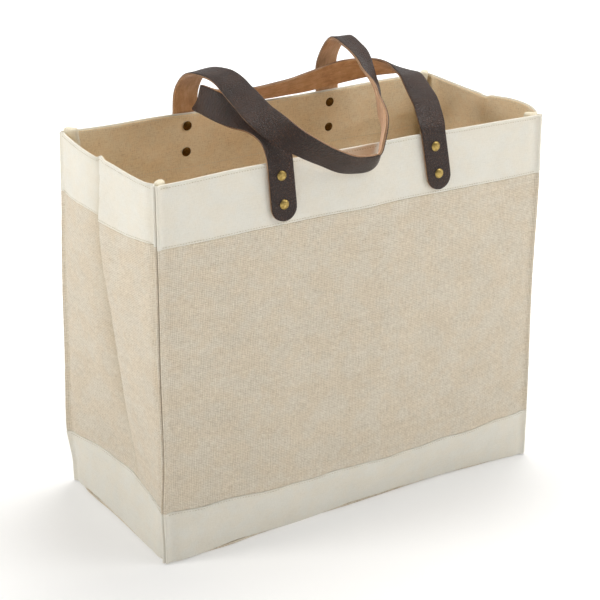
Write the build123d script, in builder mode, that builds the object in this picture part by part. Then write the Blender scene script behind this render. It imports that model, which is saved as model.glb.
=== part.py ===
from build123d import *
import os

os.makedirs("parts", exist_ok=True)

# Lined market tote: jute walls between canvas bands, two riveted leather handles.
# Millimetres. X runs along the bag, Y from front to back, Z up from the underside of the base.

# Body
half_length = 200.0
half_depth = 92.0
rim_z = 350.0
band_z = 295.0          # lower edge of the top band
hem_z = 50.0            # upper edge of the bottom band
seam_gap = 0.3

# Cloth layers, each as (outer, inner) distance in from the outer face of the wall
canvas_layer = (0.0, 1.8)
jute_layer = (0.3, 1.5)
lining_layer = (2.3, 3.1)

# How far each wall bows outwards at mid span, from the bottom edge to the rim
foot_z = 2.3
waist_z = 175.0
front_bow = {foot_z: 0.5, hem_z: 14.0, waist_z: 9.0, band_z: -1.0, rim_z: -6.0}
back_bow = {foot_z: 0.5, hem_z: 8.0, waist_z: 5.0, band_z: -1.0, rim_z: -6.0}
gusset_bow = {foot_z: -0.5, hem_z: -10.0, waist_z: 1.0, band_z: 8.0, rim_z: 6.0}

# Base
base_thickness = 2.0
board_bottom = 2.4
board_top = 4.6
base_lining_bottom = 4.9
base_lining_top = 5.7

# Bound seam allowance standing in each inside corner
binding_length = 14.0
binding_thickness = 3.0
binding_top = 353.5

# Leather straps
strap_width = 25.0
strap_thickness = 3.0
hinge_y = 89.0          # strap centre at the rim
hinge_z = 350.0
low_tab_y = 91.8        # strap centre at the lower rivet
low_tab_z = 312.0
tab_top_gap = 4.5
loop_gap = 1.5
tab_end_reach = 40.0    # from the rim down to the centre of the rounded end

# Double-cap rivets, measured down the strap from the rim
rivet_reach = (12.0, 37.5)
rivet_cap_radius = 4.5
rivet_cap_height = 1.3
rivet_post_radius = 2.0
rivet_hole_radius = 2.2
inner_cap_face = 5.3    # strap centre to the face of the inner cap
inner_cap_height = 1.2

# Each handle end leans a little sideways: X at the lower rivet, X at the rim
front_left_lean = (-78.0, -80.0)
front_right_lean = (84.0, 79.0)
back_left_lean = (-77.0, -76.0)
back_right_lean = (80.0, 80.0)

# Stations along each handle, from the left rim to the right one:
# strap centre (X, Y, Z), then the direction across the strap.
# The back handle leans forward over the front one and droops in front of the bag.
back_handle_stations = [
    (-77, 91.8, 312, 1.0, 0.0, 0.0),
    (-76, 89, 350, 1.0, 0.0, 0.0),
    (-74, 88, 372, 1.0, 0.0, 0.0),
    (-72, 74, 389, 0.98, 0.1, 0.0),
    (-67, 40, 395, 0.96, 0.2, 0.15),
    (-73, -16, 388, 0.88, 0.15, 0.42),
    (-81, -64, 382, 0.8, -0.05, 0.58),
    (-73, -98, 371, 0.3, -0.45, 0.84),
    (-42, -103, 352, 0.2, -0.68, 0.7),
    (-12, -101, 339, 0.0, -0.65, 0.76),
    (12, -100, 340, -0.25, -0.65, 0.7),
    (19, -98, 357, -0.35, -0.78, 0.5),
    (46, -50, 374, -0.47, -0.76, 0.45),
    (70, 0, 384, -0.7, -0.6, 0.3),
    (82, 45, 400, -0.9, -0.4, 0.1),
    (82, 70, 404, -0.96, -0.25, 0.1),
    (78, 87, 378, -1.0, -0.2, 0.0),
    (80, 89, 350, -1.0, 0.0, 0.0),
    (80, 91.8, 312, -1.0, 0.0, 0.0),
]
# The front handle reaches back across the mouth, curls round and stands on the back rim.
front_handle_stations = [
    (-78, -91.8, 312, -1.0, 0.0, -0.05),
    (-80, -89, 350, -1.0, 0.0, -0.05),
    (-79, -79, 365, -1.0, 0.0, -0.1),
    (-79, -52, 372, -0.95, 0.0, -0.3),
    (-82, -20, 373, -0.75, 0.1, -0.65),
    (-84, 8, 374, -0.5, 0.2, -0.84),
    (-82, 35, 373, -0.25, 0.35, -0.9),
    (-75, 62, 369, 0.1, 0.6, -0.8),
    (-58, 74, 363, 0.1, 0.65, -0.75),
    (-30, 76, 360.5, 0.0, 0.75, -0.66),
    (0, 76, 360.5, 0.0, 0.72, -0.7),
    (50, 75, 364, 0.0, 0.5, -0.87),
    (86, 68, 371, 0.05, 0.3, -0.95),
    (108, 54, 375, 0.2, 0.6, -0.78),
    (118, 28, 379, 0.49, 0.79, -0.38),
    (115, 4, 380, 0.85, 0.5, -0.1),
    (102, -32, 375, 0.97, 0.25, 0.0),
    (87, -68, 367, 1.0, 0.1, 0.1),
    (79, -89, 350, 1.0, 0.0, 0.13),
    (84, -91.8, 312, 1.0, 0.0, 0.13),
]
sections_per_span = 4


def wall_section(z, half_span, reach, bow, layer):
    """Slice through a wall that runs along X and stands on the -Y side."""
    outer, inner = layer
    with BuildSketch(Plane.XY.offset(z), mode=Mode.PRIVATE) as slice_face:
        with BuildLine():
            ThreePointArc(
                (-half_span, outer - reach),
                (0, outer - reach - bow),
                (half_span, outer - reach),
            )
            Line((half_span, outer - reach), (half_span, inner - reach))
            ThreePointArc(
                (half_span, inner - reach),
                (0, inner - reach - bow),
                (-half_span, inner - reach),
            )
            Line((-half_span, inner - reach), (-half_span, outer - reach))
        make_face()
    return slice_face.sketch.face()


def bow_at(bows, z):
    """Bow of a wall at height z, running straight between the listed heights."""
    heights = sorted(bows)
    for low, high in zip(heights, heights[1:]):
        if low <= z <= high:
            share = (z - low) / (high - low)
            return bows[low] + share * (bows[high] - bows[low])
    return bows[heights[-1]]


def wall_slices(bottom, top, half_span, reach, bows, layer, turn):
    """Slices of one wall from bottom to top, turned about Z to the side it stands on."""
    heights = [bottom] + [z for z in sorted(bows) if bottom < z < top] + [top]
    slices = []
    for z in heights:
        flat = wall_section(z, half_span, reach, bow_at(bows, z), layer)
        slices.append(flat.rotate(Axis.Z, turn))
    return slices


def tab_plane(lean, side):
    """Plane through a strap end: X across it, Y up it, Z out of the bag."""
    low_x, high_x = lean
    top = Vector(high_x, side * hinge_y, hinge_z)
    low = Vector(low_x, side * low_tab_y, low_tab_z)
    up = (top - low).normalized()
    across = up.cross(Vector(0, side, 0)).normalized()
    return Plane(origin=top, x_dir=across, z_dir=across.cross(up))


def strap_slices(stations):
    """Strap sections from just above one rim crossing to just above the other."""
    rows = [[Vector(*row[:3]), Vector(*row[3:]).normalized()] for row in stations]
    knots = [0.0]
    for before, after in zip(rows, rows[1:]):
        knots.append(knots[-1] + (after[0] - before[0]).length)

    def slope(index, column):
        ahead = knots[index + 1] - knots[index]
        behind = knots[index] - knots[index - 1]
        rise_ahead = (rows[index + 1][column] - rows[index][column]) * (1 / ahead)
        rise_behind = (rows[index][column] - rows[index - 1][column]) * (1 / behind)
        return (rise_ahead * behind + rise_behind * ahead) * (1 / (ahead + behind))

    def along(index, share, column):
        span = knots[index + 1] - knots[index]
        start = rows[index][column]
        end = rows[index + 1][column]
        leave = slope(index, column) * span
        arrive = slope(index + 1, column) * span
        cube = share ** 3
        square = share ** 2
        return (
            start * (2 * cube - 3 * square + 1)
            + leave * (cube - 2 * square + share)
            + end * (3 * square - 2 * cube)
            + arrive * (cube - square)
        )

    slices = []
    last_span = len(rows) - 3
    for index in range(1, last_span + 1):
        span = knots[index + 1] - knots[index]
        for step in range(sections_per_span):
            share = step / sections_per_span
            if index == 1 and step == 0:
                share = loop_gap / span
            slices.append(strap_section(along, index, share))
        if index == last_span:
            slices.append(strap_section(along, index, 1 - loop_gap / span))
    return slices


def strap_section(along, index, share):
    """Rectangle across the strap at one place along it."""
    step = 0.01
    centre = along(index, share, 0)
    heading = along(index, min(share + step, 1), 0) - along(index, max(share - step, 0), 0)
    across = along(index, share, 1)
    across = across - heading * (across.dot(heading) / heading.dot(heading))
    plane = Plane(origin=centre, x_dir=across.normalized(), z_dir=heading.normalized())
    with BuildSketch(plane, mode=Mode.PRIVATE) as section:
        Rectangle(strap_width, strap_thickness)
    return section.sketch.face()


front_tabs = [tab_plane(front_left_lean, -1), tab_plane(front_right_lean, -1)]
back_tabs = [tab_plane(back_left_lean, 1), tab_plane(back_right_lean, 1)]

front_turn = 0
right_turn = 90
back_turn = 180
left_turn = 270
gusset_half_span = half_depth - lining_layer[0]
lining_half_span = half_length - lining_layer[1] - 0.4
gusset_lining_half_span = half_depth - lining_layer[1] - 0.6
lining_foot = base_lining_top + seam_gap
lining_top = rim_z - 1.5

# Base panel: the jute floor the bag stands on
with BuildPart() as base_panel:
    with BuildSketch(Plane.XY):
        RectangleRounded(2 * half_length - 2, 2 * half_depth - 2, 4)
    extrude(amount=base_thickness)
base_panel.part.label = "base_panel"
export_step(base_panel.part, "parts/base_panel.step")

# Base board: stiffener between the base panel and the base lining
with BuildPart() as base_board:
    with BuildSketch(Plane.XY.offset(board_bottom)):
        RectangleRounded(2 * half_length - 12, 2 * half_depth - 10, 6)
    extrude(amount=board_top - board_bottom)
base_board.part.label = "base_board"
export_step(base_board.part, "parts/base_board.step")

# Base lining
with BuildPart() as base_lining:
    with BuildSketch(Plane.XY.offset(base_lining_bottom)):
        RectangleRounded(2 * half_length - 12, 2 * half_depth - 10, 6)
    extrude(amount=base_lining_top - base_lining_bottom)
base_lining.part.label = "base_lining"
export_step(base_lining.part, "parts/base_lining.step")

# Front wall: bottom band, jute panel, top band, lining
with BuildPart() as front_bottom_band:
    loft(
        sections=wall_slices(
            foot_z, hem_z, half_length, half_depth, front_bow, canvas_layer, front_turn
        ),
        ruled=True,
    )
front_bottom_band.part.label = "front_bottom_band"
export_step(front_bottom_band.part, "parts/front_bottom_band.step")

with BuildPart() as front_body_panel:
    loft(
        sections=wall_slices(
            hem_z + seam_gap, band_z - seam_gap, half_length - 0.3, half_depth,
            front_bow, jute_layer, front_turn,
        ),
        ruled=True,
    )
front_body_panel.part.label = "front_body_panel"
export_step(front_body_panel.part, "parts/front_body_panel.step")

with BuildPart() as front_top_band:
    loft(
        sections=wall_slices(
            band_z, rim_z, half_length, half_depth, front_bow, canvas_layer, front_turn
        ),
        ruled=True,
    )
    for plane in front_tabs:
        with BuildSketch(plane):
            with Locations(*[(0, -reach) for reach in rivet_reach]):
                Circle(rivet_hole_radius)
        extrude(amount=8, both=True, mode=Mode.SUBTRACT)
front_top_band.part.label = "front_top_band"
export_step(front_top_band.part, "parts/front_top_band.step")

with BuildPart() as front_lining:
    loft(
        sections=wall_slices(
            lining_foot, lining_top, lining_half_span, half_depth,
            front_bow, lining_layer, front_turn,
        ),
        ruled=True,
    )
    for plane in front_tabs:
        with BuildSketch(plane):
            with Locations(*[(0, -reach) for reach in rivet_reach]):
                Circle(rivet_hole_radius)
        extrude(amount=8, both=True, mode=Mode.SUBTRACT)
front_lining.part.label = "front_lining"
export_step(front_lining.part, "parts/front_lining.step")

# Back wall: the same four layers
with BuildPart() as back_bottom_band:
    loft(
        sections=wall_slices(
            foot_z, hem_z, half_length, half_depth, back_bow, canvas_layer, back_turn
        ),
        ruled=True,
    )
back_bottom_band.part.label = "back_bottom_band"
export_step(back_bottom_band.part, "parts/back_bottom_band.step")

with BuildPart() as back_body_panel:
    loft(
        sections=wall_slices(
            hem_z + seam_gap, band_z - seam_gap, half_length - 0.3, half_depth,
            back_bow, jute_layer, back_turn,
        ),
        ruled=True,
    )
back_body_panel.part.label = "back_body_panel"
export_step(back_body_panel.part, "parts/back_body_panel.step")

with BuildPart() as back_top_band:
    loft(
        sections=wall_slices(
            band_z, rim_z, half_length, half_depth, back_bow, canvas_layer, back_turn
        ),
        ruled=True,
    )
    for plane in back_tabs:
        with BuildSketch(plane):
            with Locations(*[(0, -reach) for reach in rivet_reach]):
                Circle(rivet_hole_radius)
        extrude(amount=8, both=True, mode=Mode.SUBTRACT)
back_top_band.part.label = "back_top_band"
export_step(back_top_band.part, "parts/back_top_band.step")

with BuildPart() as back_lining:
    loft(
        sections=wall_slices(
            lining_foot, lining_top, lining_half_span, half_depth,
            back_bow, lining_layer, back_turn,
        ),
        ruled=True,
    )
    for plane in back_tabs:
        with BuildSketch(plane):
            with Locations(*[(0, -reach) for reach in rivet_reach]):
                Circle(rivet_hole_radius)
        extrude(amount=8, both=True, mode=Mode.SUBTRACT)
back_lining.part.label = "back_lining"
export_step(back_lining.part, "parts/back_lining.step")

# Left gusset
with BuildPart() as left_bottom_band:
    loft(
        sections=wall_slices(
            foot_z, hem_z, gusset_half_span, half_length, gusset_bow, canvas_layer, left_turn
        ),
        ruled=True,
    )
left_bottom_band.part.label = "left_bottom_band"
export_step(left_bottom_band.part, "parts/left_bottom_band.step")

with BuildPart() as left_gusset_panel:
    loft(
        sections=wall_slices(
            hem_z + seam_gap, band_z - seam_gap, gusset_half_span, half_length,
            gusset_bow, jute_layer, left_turn,
        ),
        ruled=True,
    )
left_gusset_panel.part.label = "left_gusset_panel"
export_step(left_gusset_panel.part, "parts/left_gusset_panel.step")

with BuildPart() as left_top_band:
    loft(
        sections=wall_slices(
            band_z, rim_z, gusset_half_span, half_length, gusset_bow, canvas_layer, left_turn
        ),
        ruled=True,
    )
left_top_band.part.label = "left_top_band"
export_step(left_top_band.part, "parts/left_top_band.step")

with BuildPart() as left_lining:
    loft(
        sections=wall_slices(
            lining_foot, lining_top, gusset_lining_half_span, half_length,
            gusset_bow, lining_layer, left_turn,
        ),
        ruled=True,
    )
left_lining.part.label = "left_lining"
export_step(left_lining.part, "parts/left_lining.step")

# Right gusset
with BuildPart() as right_bottom_band:
    loft(
        sections=wall_slices(
            foot_z, hem_z, gusset_half_span, half_length, gusset_bow, canvas_layer, right_turn
        ),
        ruled=True,
    )
right_bottom_band.part.label = "right_bottom_band"
export_step(right_bottom_band.part, "parts/right_bottom_band.step")

with BuildPart() as right_gusset_panel:
    loft(
        sections=wall_slices(
            hem_z + seam_gap, band_z - seam_gap, gusset_half_span, half_length,
            gusset_bow, jute_layer, right_turn,
        ),
        ruled=True,
    )
right_gusset_panel.part.label = "right_gusset_panel"
export_step(right_gusset_panel.part, "parts/right_gusset_panel.step")

with BuildPart() as right_top_band:
    loft(
        sections=wall_slices(
            band_z, rim_z, gusset_half_span, half_length, gusset_bow, canvas_layer, right_turn
        ),
        ruled=True,
    )
right_top_band.part.label = "right_top_band"
export_step(right_top_band.part, "parts/right_top_band.step")

with BuildPart() as right_lining:
    loft(
        sections=wall_slices(
            lining_foot, lining_top, gusset_lining_half_span, half_length,
            gusset_bow, lining_layer, right_turn,
        ),
        ruled=True,
    )
right_lining.part.label = "right_lining"
export_step(right_lining.part, "parts/right_lining.step")

# Corner bindings: each stands in an inside corner and points at the middle of the bag
corner_sides = {
    "front_left_binding": (-1, -1, 45),
    "front_right_binding": (1, -1, 135),
    "back_left_binding": (-1, 1, -45),
    "back_right_binding": (1, 1, 225),
}
binding_start = 2.4 + binding_length / 2
for name, (side_x, side_y, turn) in corner_sides.items():
    inset = lining_layer[1] + binding_start * 0.7071
    corner = (side_x * (half_length - inset), side_y * (half_depth - inset))
    with BuildPart() as binding:
        with BuildSketch(Plane.XY.offset(lining_foot + 0.5)):
            with Locations(Location((*corner, 0), (0, 0, turn))):
                SlotOverall(binding_length, binding_thickness)
        extrude(amount=binding_top - lining_foot - 0.5)
    binding.part.label = name
    export_step(binding.part, f"parts/{name}.step")

# Handle ends: strap riveted flat against the top band
tab_sets = {
    "front_handle_left_end": front_tabs[0],
    "front_handle_right_end": front_tabs[1],
    "back_handle_left_end": back_tabs[0],
    "back_handle_right_end": back_tabs[1],
}
for name, plane in tab_sets.items():
    with BuildPart() as strap_end:
        with BuildSketch(plane):
            with Locations((0, -(tab_top_gap + tab_end_reach) / 2)):
                Rectangle(strap_width, tab_end_reach - tab_top_gap)
            with Locations((0, -tab_end_reach)):
                Circle(strap_width / 2)
            with Locations(*[(0, -reach) for reach in rivet_reach]):
                Circle(rivet_hole_radius, mode=Mode.SUBTRACT)
        extrude(amount=strap_thickness / 2, both=True)
    strap_end.part.label = name
    export_step(strap_end.part, f"parts/{name}.step")

# Rivets: a domed outer cap on a post, and a domed inner cap on the lining
post_start = -inner_cap_face + 0.1
cap_seat = strap_thickness / 2 + 0.1
for name, plane in tab_sets.items():
    rivet_name = name.replace("_end", "_outer_rivets")
    with BuildPart() as outer_rivets:
        with BuildSketch(plane.offset(post_start)):
            with Locations(*[(0, -reach) for reach in rivet_reach]):
                Circle(rivet_post_radius)
        extrude(amount=cap_seat - post_start)
        with BuildSketch(plane.offset(cap_seat)):
            with Locations(*[(0, -reach) for reach in rivet_reach]):
                Circle(rivet_cap_radius)
        extrude(amount=rivet_cap_height, taper=25)
    outer_rivets.part.label = rivet_name
    export_step(outer_rivets.part, f"parts/{rivet_name}.step")

    cap_name = name.replace("_end", "_inner_caps")
    with BuildPart() as inner_caps:
        with BuildSketch(plane.offset(-inner_cap_face)):
            with Locations(*[(0, -reach) for reach in rivet_reach]):
                Circle(rivet_cap_radius)
        extrude(amount=-inner_cap_height, taper=25)
    inner_caps.part.label = cap_name
    export_step(inner_caps.part, f"parts/{cap_name}.step")

# Handle loops: the free strap between the two rim crossings
with BuildPart() as front_handle_loop:
    loft(sections=strap_slices(front_handle_stations), ruled=True)
front_handle_loop.part.label = "front_handle_loop"
export_step(front_handle_loop.part, "parts/front_handle_loop.step")

with BuildPart() as back_handle_loop:
    loft(sections=strap_slices(back_handle_stations), ruled=True)
back_handle_loop.part.label = "back_handle_loop"
export_step(back_handle_loop.part, "parts/back_handle_loop.step")
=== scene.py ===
import math

import bmesh
import bpy
import numpy as np
from mathutils import Matrix, Vector


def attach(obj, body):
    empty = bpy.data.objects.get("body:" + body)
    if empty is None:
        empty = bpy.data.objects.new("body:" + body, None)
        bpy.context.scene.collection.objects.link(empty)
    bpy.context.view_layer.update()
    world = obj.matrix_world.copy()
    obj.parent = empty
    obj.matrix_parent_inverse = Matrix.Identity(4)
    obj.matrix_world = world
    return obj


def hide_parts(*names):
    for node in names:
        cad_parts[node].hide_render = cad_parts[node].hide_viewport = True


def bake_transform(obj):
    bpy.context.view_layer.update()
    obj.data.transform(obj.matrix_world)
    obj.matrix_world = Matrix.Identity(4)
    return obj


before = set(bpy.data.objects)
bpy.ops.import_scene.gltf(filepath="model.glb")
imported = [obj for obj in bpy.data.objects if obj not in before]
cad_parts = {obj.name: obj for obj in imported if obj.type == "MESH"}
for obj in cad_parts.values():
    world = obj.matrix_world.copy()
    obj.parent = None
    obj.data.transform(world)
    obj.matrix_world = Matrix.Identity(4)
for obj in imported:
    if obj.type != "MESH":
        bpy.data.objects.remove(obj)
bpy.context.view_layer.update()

# Sizes below are in millimetres, as in the CAD; meshes are written in metres.
MM = 0.001
HALF_LENGTH = 200.0
HALF_DEPTH = 92.0
RIM = 350.0
BAND = 295.0
HEM = 50.0
SEAM_RADIUS = 1.6
SEAM_PROUD = 1.5
SEAM_REACH = 1 + math.sqrt(2)

# Depth in from a wall's outer surface of each layer's outer and inner face.
TOP_BAND_DEPTH = (0.0, 2.0)
JUTE_DEPTH = (0.3, 1.5)
BOTTOM_BAND_DEPTH = (0.0, 1.8)
LINING_DEPTH = (2.3, 3.1)
LINING_FOOT = 6.2
LINING_BELOW_RIM = 1.3
# The panels meet edge to edge with this much room.
SEAM_GAP = 0.05

# Stitched lines: distance from the edge that they follow, and depth in from the wall's surface.
RIM_STITCH_IN = 3.1
EDGE_STITCH_IN = 1.9
RIM_STITCH_DEPTH = 0.2
EDGE_STITCH_DEPTH = 0.05
INNER_RIM_STITCH_DEPTH = 3.25
INNER_BAND_STITCH_DEPTH = 3.3

# Spacing of the mesh along a long wall and along a gusset.
LONG_STEP = 3.0
GUSSET_STEP = 1.4


# -------- camera and lights

def add_to_scene(name, data):
    thing = bpy.data.objects.new(name, data)
    bpy.context.scene.collection.objects.link(thing)
    return thing


def set_inputs(node, **values):
    for name, value in values.items():
        node.inputs[name.replace("_", " ")].default_value = value


def place_camera():
    """The camera stands in front and to the left of the bag, looking down at it."""
    data = bpy.data.cameras.new("camera")
    data.sensor_width = 36.0
    data.lens = 103.03
    data.clip_start, data.clip_end = 0.05, 40.0
    camera = add_to_scene("camera", data)
    forward = Vector((0.4856, 0.7883, -0.3778)).normalized()
    turn = forward.to_track_quat("-Z", "Y").to_matrix().to_4x4()
    camera.matrix_world = Matrix.Translation((-0.79177, -1.27679, 0.78905)) @ turn
    bpy.context.scene.camera = camera


def area_light(name, place, size, power, colour):
    """A round light aimed at the middle of the bag."""
    data = bpy.data.lights.new(name, "AREA")
    data.shape = "DISK"
    data.size = size
    data.energy = power
    data.color = colour
    light = add_to_scene(name, data)
    light.location = place
    aim = Vector((0, 0, 0.2)) - Vector(place)
    light.rotation_euler = aim.to_track_quat("-Z", "Y").to_euler()


def light_the_set():
    world = bpy.data.worlds.new("studio")
    world.use_nodes = True
    back = world.node_tree.nodes["Background"]
    set_inputs(back, Color=(1.0, 0.99, 0.975, 1.0), Strength=0.25)
    bpy.context.scene.world = world
    area_light("left_key", (-1.4, 0.3, 1.3), 0.5, 12.4, (1.0, 0.99, 0.965))
    area_light("front_top", (0.75, -1.0, 1.8), 1.3, 7.8, (1.0, 0.995, 0.985))
    area_light("front_right", (1.05, -0.95, 1.05), 0.8, 4.8, (1.0, 0.995, 0.985))
    area_light("back_top", (0.55, 0.45, 1.9), 1.2, 27, (1.0, 0.985, 0.955))
    bpy.context.scene.view_settings.view_transform = "Standard"


# -------- node graphs

class Graph:
    """A material's nodes, wired up by short calls."""

    def __init__(self, name):
        self.material = bpy.data.materials.new(name)
        self.material.use_nodes = True
        self.tree = self.material.node_tree
        self.tree.nodes.clear()
        out = self.add("ShaderNodeOutputMaterial")
        self.shader = self.add("ShaderNodeBsdfPrincipled")
        self.link(self.shader.outputs[0], out.inputs[0])

    def add(self, kind, **settings):
        node = self.tree.nodes.new(kind)
        for key, value in settings.items():
            setattr(node, key, value)
        return node

    def link(self, source, target):
        self.tree.links.new(source, target)

    def put(self, value, socket):
        if isinstance(value, bpy.types.NodeSocket):
            self.link(value, socket)
        elif isinstance(value, tuple) and len(value) == 3 and socket.type == "RGBA":
            socket.default_value = (*value, 1.0)
        else:
            socket.default_value = value

    def math(self, operation, first, second=None, clamp=False):
        node = self.add("ShaderNodeMath", operation=operation, use_clamp=clamp)
        self.put(first, node.inputs[0])
        if second is not None:
            self.put(second, node.inputs[1])
        return node.outputs[0]

    def uv(self):
        return self.add("ShaderNodeUVMap", uv_map="cloth").outputs[0]

    def place(self):
        return self.add("ShaderNodeTexCoord").outputs["Object"]

    def stretch(self, vector, scale, shift=(0.0, 0.0, 0.0)):
        node = self.add("ShaderNodeMapping")
        self.link(vector, node.inputs["Vector"])
        set_inputs(node, Scale=scale, Location=shift)
        return node.outputs[0]

    def noise(self, vector, scale, detail=2.0, rough=0.5, colour=False):
        node = self.add("ShaderNodeTexNoise")
        self.link(vector, node.inputs["Vector"])
        set_inputs(node, Scale=scale, Detail=detail, Roughness=rough)
        return node.outputs["Color" if colour else "Fac"]

    def wander(self, vector, scale, amount):
        """The vector, pushed about in its plane by a noise."""
        node = self.add("ShaderNodeVectorMath", operation="MULTIPLY_ADD")
        self.link(self.noise(vector, scale, colour=True), node.inputs[0])
        node.inputs[1].default_value = (amount, amount, 0.0)
        self.link(vector, node.inputs[2])
        return node.outputs[0]

    def swing(self, value, amount):
        """A 0 to 1 noise turned into a swing of +-amount about nothing."""
        return self.math("MULTIPLY", self.math("SUBTRACT", value, 0.5), 2 * amount)

    def total(self, *values):
        out = values[0]
        for value in values[1:]:
            out = self.math("ADD", out, value)
        return out

    def rescale(self, value, low, high, to_low=0.0, to_high=1.0, smooth=False):
        node = self.add("ShaderNodeMapRange")
        if smooth:
            node.interpolation_type = "SMOOTHSTEP"
        self.link(value, node.inputs["Value"])
        set_inputs(node, From_Min=low, From_Max=high, To_Min=to_low, To_Max=to_high)
        return node.outputs["Result"]

    def ramp(self, value, stops):
        node = self.add("ShaderNodeValToRGB")
        self.link(value, node.inputs[0])
        marks = node.color_ramp.elements
        while len(marks) < len(stops):
            marks.new(0.5)
        for mark, (place, colour) in zip(marks, stops):
            mark.position = place
            mark.color = (*colour, 1.0)
        return node.outputs[0]

    def mix(self, factor, first, second, blend="MIX"):
        node = self.add("ShaderNodeMix", data_type="RGBA", blend_type=blend)
        self.put(factor, node.inputs[0])
        self.put(first, node.inputs[6])
        self.put(second, node.inputs[7])
        return node.outputs[2]

    def bump(self, height, strength, distance, under=None):
        node = self.add("ShaderNodeBump")
        set_inputs(node, Strength=strength, Distance=distance)
        self.link(height, node.inputs["Height"])
        if under is not None:
            self.link(under, node.inputs["Normal"])
        return node.outputs[0]

    def finish(self, colour, roughness, normal=None, **constants):
        self.put(colour, self.shader.inputs["Base Color"])
        self.put(roughness, self.shader.inputs["Roughness"])
        if normal is not None:
            self.link(normal, self.shader.inputs["Normal"])
        set_inputs(self.shader, **constants)
        return self.material


def srgb(red, green, blue):
    """Linear colour from 0-255 display values."""
    out = []
    for channel in (red, green, blue):
        c = channel / 255
        out.append(c / 12.92 if c <= 0.04045 else ((c + 0.055) / 1.055) ** 2.4)
    return tuple(out)


def woven(name, dark, mid, pale, tint, pitch, slub, patch, gap, relief):
    """Plain weave: warp and weft threads that pass over each other, with slubs and patches."""
    g = Graph(name)
    uv = g.uv()
    split = g.add("ShaderNodeSeparateXYZ")
    g.link(g.wander(uv, 140.0, 0.0011), split.inputs[0])
    per_thread = math.pi / (pitch * MM)
    across_warp = g.math("SINE", g.math("MULTIPLY", split.outputs[0], per_thread))
    across_weft = g.math("SINE", g.math("MULTIPLY", split.outputs[1], per_thread))
    on_top = g.rescale(g.math("MULTIPLY", across_warp, across_weft), -0.25, 0.25, smooth=True)
    warp = g.math("MULTIPLY", g.math("ABSOLUTE", across_warp), on_top)
    under = g.math("SUBTRACT", 1.0, on_top)
    weft = g.math("MULTIPLY", g.math("ABSOLUTE", across_weft), under)
    thread = g.math("ADD", warp, weft)
    count = 1.0 / (pitch * MM)
    warp_slub = g.noise(g.stretch(uv, (count * 1.15, 190.0, 1.0)), 1.0, 2.0, 0.6)
    weft_slub = g.noise(g.stretch(uv, (190.0, count * 1.15, 1.0), (3.0, 7.0, 0.0)), 1.0, 2.0, 0.6)
    long_weft = g.noise(g.stretch(uv, (22.0, count * 0.45, 1.0), (9.0, 1.0, 0.0)), 1.0, 1.0)
    fleck = g.noise(uv, 1100.0, 1.0, 0.6)
    blotch = g.noise(uv, 34.0, 3.0, 0.55)
    tone = g.total(
        g.swing(warp_slub, slub),
        g.swing(weft_slub, slub),
        g.swing(long_weft, slub * 0.25),
        g.swing(fleck, slub * 0.65),
        g.swing(blotch, patch),
        g.math("MULTIPLY", g.math("SUBTRACT", thread, 0.62), gap),
        0.5,
    )
    colour = g.ramp(tone, [(0.0, dark), (0.5, mid), (1.0, pale)])
    warmth = g.rescale(g.noise(uv, 48.0, 3.0, 0.6), 0.38, 0.62, smooth=True)
    cast = g.mix(warmth, (0.985, 1.0, 1.015), tint)
    colour = g.mix(0.8, colour, cast, "MULTIPLY")
    # Painted shade: the gusset's fold is darkened behind its ridge, as a number on each vertex.
    painted_fold_shade = g.add("ShaderNodeAttribute", attribute_name="fold_painted_shade").outputs["Fac"]
    colour = g.mix(painted_fold_shade, colour, (0.66, 0.6, 0.5), "MULTIPLY")
    height = g.total(thread, g.swing(warp_slub, 0.8), g.swing(weft_slub, 0.9))
    normal = g.bump(height, relief, 0.00035)
    rough = g.rescale(thread, 0.0, 1.0, 0.97, 0.84)
    return g.finish(
        colour, rough, normal,
        Sheen_Weight=0.18, Sheen_Roughness=0.6, Specular_IOR_Level=0.18,
    )


def leather_grain():
    g = Graph("leather_grain")
    uv = g.uv()
    cells = g.add("ShaderNodeTexVoronoi", feature="DISTANCE_TO_EDGE")
    g.link(g.wander(uv, 420.0, 0.0012), cells.inputs["Vector"])
    set_inputs(cells, Scale=480.0)
    pebble = g.rescale(cells.outputs["Distance"], 0.0, 0.28, smooth=True)
    pores = g.noise(uv, 1900.0, 3.0, 0.6)
    creases = g.noise(g.stretch(uv, (260.0, 60.0, 1.0)), 1.0, 4.0, 0.62)
    cloud = g.noise(uv, 38.0, 3.0, 0.6)
    tone = g.total(g.swing(cloud, 0.4), g.swing(pores, 0.2), g.swing(pebble, 0.2), 0.5)
    colour = g.ramp(tone, [
        (0.0, srgb(26, 16, 11)), (0.5, srgb(47, 29, 21)), (1.0, srgb(88, 60, 44)),
    ])
    height = g.total(g.math("MULTIPLY", pebble, 0.8), g.swing(pores, 0.3), g.swing(creases, 0.7))
    normal = g.bump(height, 1.0, 0.00075)
    rough = g.rescale(g.total(g.swing(cloud, 0.5), g.swing(pebble, 0.25), 0.5), 0, 1, 0.34, 0.5)
    return g.finish(colour, rough, normal, Specular_IOR_Level=0.42)


def leather_suede():
    g = Graph("leather_suede")
    uv = g.uv()
    nap = g.noise(uv, 1500.0, 4.0, 0.7)
    cloud = g.noise(uv, 70.0, 5.0, 0.65)
    drag = g.noise(g.stretch(uv, (90.0, 420.0, 1.0)), 1.0, 3.0, 0.6)
    tone = g.total(g.swing(cloud, 0.55), g.swing(nap, 0.35), g.swing(drag, 0.3), 0.5)
    colour = g.ramp(tone, [
        (0.0, srgb(150, 106, 72)), (0.5, srgb(208, 160, 116)), (1.0, srgb(240, 202, 164)),
    ])
    normal = g.bump(g.total(nap, g.swing(drag, 0.6)), 0.5, 0.0004)
    return g.finish(
        colour, 0.95, normal,
        Sheen_Weight=0.35, Sheen_Roughness=0.5, Specular_IOR_Level=0.15,
    )


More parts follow.
